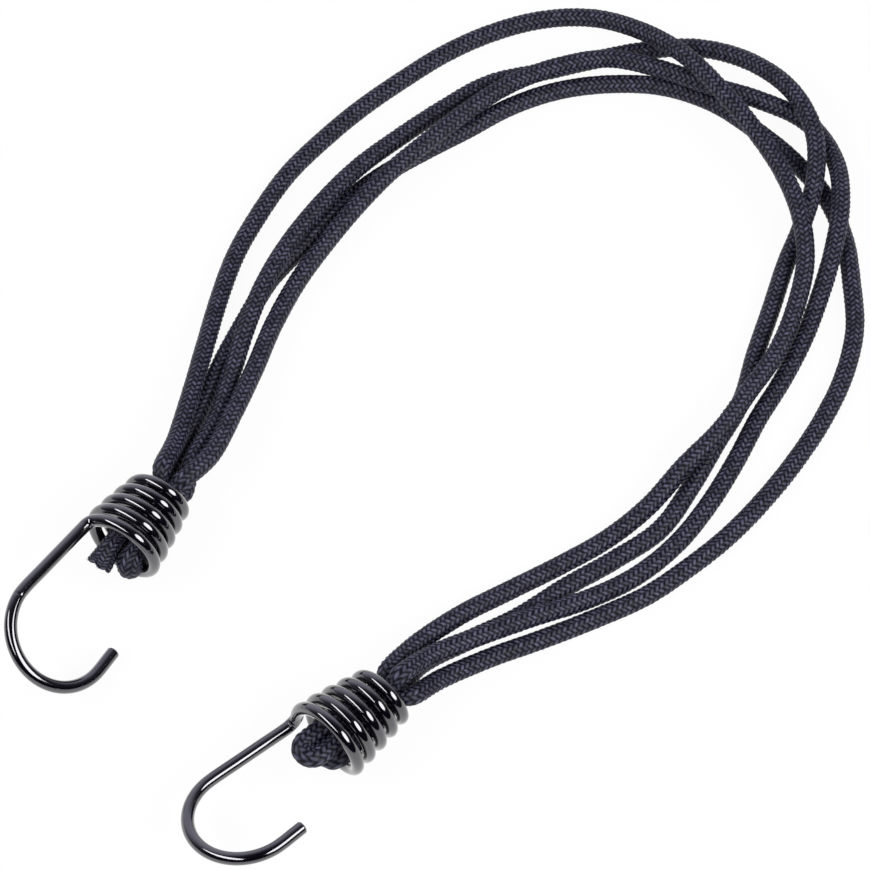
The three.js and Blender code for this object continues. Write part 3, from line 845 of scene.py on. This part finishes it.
def cut_end(name, ring, into, bore, slant, fringe):
    """The core and the loose yarns of one cut end, where into is +1 or -1 along the cord."""
    centre = line_point(ring_at[ring])
    inner = line_point(ring_at[ring] + END_WAY_LENGTH * into)
    out = (centre - inner) / np.linalg.norm(centre - inner)
    rim = cord_vertices[ring]
    side = rim[0] - rim.mean(axis=0)
    side -= out * np.dot(side, out)
    side /= np.linalg.norm(side)
    up = np.cross(out, side)
    threads = []
    for row in range(-THREAD_LAYERS, THREAD_LAYERS + 1):
        for place in range(-THREAD_LAYERS, THREAD_LAYERS + 1):
            across = 2 * THREAD_RADIUS * (place + 0.5 * (row % 2))
            high = 2 * THREAD_RADIUS * row * math.sqrt(0.75)
            if math.hypot(across, high) > bore - THREAD_RADIUS:
                continue
            from_middle = side * across + up * high
            foot = centre - out * THREAD_FOOT + from_middle
            recess = THREAD_RECESS + THREAD_UNEVEN * cut_seed.random()
            top = centre - out * recess + from_middle
            top += out * slant * np.dot(from_middle, cut_up)
            threads.append(spike(foot, top, THREAD_RADIUS, THREAD_RADIUS, THREAD_SIDES))
    points, faces = joined(threads)
    core = new_piece(name + "_core", points, faces, rubber_finish)
    yarns = []
    for point in rim:
        outward_way = point - rim.mean(axis=0)
        outward_way /= np.linalg.norm(outward_way)
        inset = YARN_INSET + YARN_INSET_UNEVEN * cut_seed.random()
        root = point - out * YARN_ROOT - outward_way * inset
        spread = YARN_SPREAD * cut_seed.random() - YARN_TURN_IN
        sprung = out + outward_way * spread + YARN_TANGLE * (cut_seed.random(3) - 0.5)
        length = fringe * (YARN_SHORTEST + YARN_LONGER * cut_seed.random() ** 2)
        tip = root + sprung * length
        yarns.append(spike(root, tip, YARN_ROOT_RADIUS, YARN_TIP_RADIUS, YARN_SIDES))
    return core, yarns


def fringe_piece(name, yarns):
    points, faces = joined(yarns)
    count = len(points)
    return new_piece(
        name,
        points,
        faces,
        braid_finish,
        yarn_height=np.full(count, FRINGE_HEIGHT),
        float_tone=np.repeat(cut_seed.random(len(yarns)), count // len(yarns)),
        yarn_row=np.linspace(0, FRINGE_ROWS, count),
        yarn_column=np.linspace(0, COLUMNS, count),
    )


# Ring of the cut, way into the cord, bore that the threads fill, slant of the cut, fringe length
for name, ring, into, bore, slant, fringe, solid in (
    ("cut_end_long", 0, 1, 0.0029, CUT_SLANT, 0.0009, "left_tail_1"),
    ("cut_end_short", ring_count, -1, 0.0021, 0.0, 0.0006, "left_tail_2"),
):
    core, yarns = cut_end(name, ring, into, bore, slant, fringe)
    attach(core, "cords")
    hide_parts(solid + "_core")
    fray = fringe_piece(name + "_fringe", yarns)
    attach(fray, "cords")
    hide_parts(solid + "_sheath")

# The strands that leave their hook at their first ring, and a path along each strand from that
# end, which nothing further uses
HELD_FIRST = ("strand_1_left", "strand_2_right", "strand_3_left", "strand_4_right")
PATH_RINGS = 8
for number, (name, _) in enumerate(STRETCHES):
    if "strand" not in name:
        continue
    first, last = ring_of(stretch_marks[number]), ring_of(stretch_marks[number + 1])
    stops = np.append(ring_at[first:last:PATH_RINGS], ring_at[last])
    path = [tuple(line_point(at)) for at in stops]
    if name not in HELD_FIRST:
        path.reverse()


# Floor and light
# A plain table top of white paper under two wide studio lamps, one on each side, with a white
# backdrop behind and an unlit room in front.
FLOOR_HALF = 3.0
FLOOR_LOW = -0.0001
PAPER_WHITENESS = 0.95
floor_mesh = bpy.data.meshes.new("floor")
floor_corners = [(-1, -1), (1, -1), (1, 1), (-1, 1)]
floor_mesh.from_pydata(
    [(FLOOR_HALF * x, FLOOR_HALF * y, FLOOR_LOW) for x, y in floor_corners], [], [(0, 1, 2, 3)]
)
floor = bpy.data.objects.new("floor", floor_mesh)
bpy.context.scene.collection.objects.link(floor)


def floor_material():
    """White paper that keeps a faint shadow and shows white to the camera and in the coating."""
    finish = bpy.data.materials.new("white_paper")
    finish.use_nodes = True
    nodes, links = finish.node_tree.nodes, finish.node_tree.links
    nodes.remove(nodes["Principled BSDF"])
    matt = nodes.new("ShaderNodeBsdfDiffuse")
    matt.inputs["Color"].default_value = (0.9, 0.9, 0.9, 1)
    white = nodes.new("ShaderNodeEmission")
    white.inputs["Color"].default_value = (1, 1, 1, 1)
    path = nodes.new("ShaderNodeLightPath")
    mirrored = nodes.new("ShaderNodeMath")
    mirrored.operation = "MAXIMUM"
    links.new(path.outputs["Is Glossy Ray"], mirrored.inputs[0])
    links.new(path.outputs["Is Transmission Ray"], mirrored.inputs[1])
    seen = nodes.new("ShaderNodeMath")
    seen.operation = "MAXIMUM"
    links.new(path.outputs["Is Camera Ray"], seen.inputs[0])
    links.new(mirrored.outputs["Value"], seen.inputs[1])
    share = nodes.new("ShaderNodeMath")
    share.operation = "MULTIPLY"
    share.inputs[1].default_value = PAPER_WHITENESS
    links.new(seen.outputs["Value"], share.inputs[0])
    mix = nodes.new("ShaderNodeMixShader")
    links.new(share.outputs["Value"], mix.inputs["Fac"])
    links.new(matt.outputs["BSDF"], mix.inputs[1])
    links.new(white.outputs["Emission"], mix.inputs[2])
    links.new(mix.outputs["Shader"], nodes["Material Output"].inputs["Surface"])
    return finish


floor_mesh.materials.append(floor_material())

BACKDROP_WAY = (-0.766, 0.643, 0.0)
ROOM_BLUE = 1.2
MIX_FIRST, MIX_SECOND, MIX_RESULT = 6, 7, 2
world = bpy.data.worlds.new("studio")
world.use_nodes = True
bpy.context.scene.world = world
world_nodes, world_links = world.node_tree.nodes, world.node_tree.links
background = world_nodes["Background"]
way = world_nodes.new("ShaderNodeTexCoord")
behind = world_nodes.new("ShaderNodeVectorMath")
behind.operation = "DOT_PRODUCT"
behind.inputs[1].default_value = BACKDROP_WAY
world_links.new(way.outputs["Generated"], behind.inputs[0])
half = world_nodes.new("ShaderNodeMapRange")
half.inputs["From Min"].default_value = -1.0
half.inputs["From Max"].default_value = 1.0
world_links.new(behind.outputs["Value"], half.inputs["Value"])
room = world_nodes.new("ShaderNodeValToRGB")
levels = room.color_ramp.elements
levels[0].position, levels[0].color = 0.0, (0.010, 0.009, 0.014, 1)
levels[1].position, levels[1].color = 1.0, (0.90, 0.90, 1.05, 1)
for position, level in ((0.35, 0.016), (0.5, 0.035), (0.65, 0.12), (0.78, 0.42), (0.88, 0.76)):
    step = levels.new(position)
    step.color = (level, level, level * ROOM_BLUE, 1)
world_links.new(half.outputs["Result"], room.inputs["Fac"])
ray = world_nodes.new("ShaderNodeLightPath")
view = world_nodes.new("ShaderNodeMix")
view.data_type = "RGBA"
world_links.new(ray.outputs["Is Camera Ray"], view.inputs["Factor"])
world_links.new(room.outputs["Color"], view.inputs[MIX_FIRST])
view.inputs[MIX_SECOND].default_value = (1, 1, 1, 1)
world_links.new(view.outputs[MIX_RESULT], background.inputs["Color"])
background.inputs["Strength"].default_value = 1.0


def softbox(name, place, target, width, height, power):
    data = bpy.data.lights.new(name, "AREA")
    data.shape = "ELLIPSE"
    data.size, data.size_y = width, height
    data.energy = power
    lamp = bpy.data.objects.new(name, data)
    lamp.location = place
    lamp.rotation_mode = "QUATERNION"
    lamp.rotation_quaternion = (Vector(target) - Vector(place)).to_track_quat("-Z", "Y")
    bpy.context.scene.collection.objects.link(lamp)


softbox("lamp_right", (1.124, 0.24, 1.13), (0.014, 0.04, 0), 1.53, 0.8, 22.6)
softbox("lamp_left", (-0.40, -0.83, 1.23), (0, 0.12, 0), 2.0, 0.45, 16.5)

bpy.context.scene.view_settings.view_transform = "Standard"
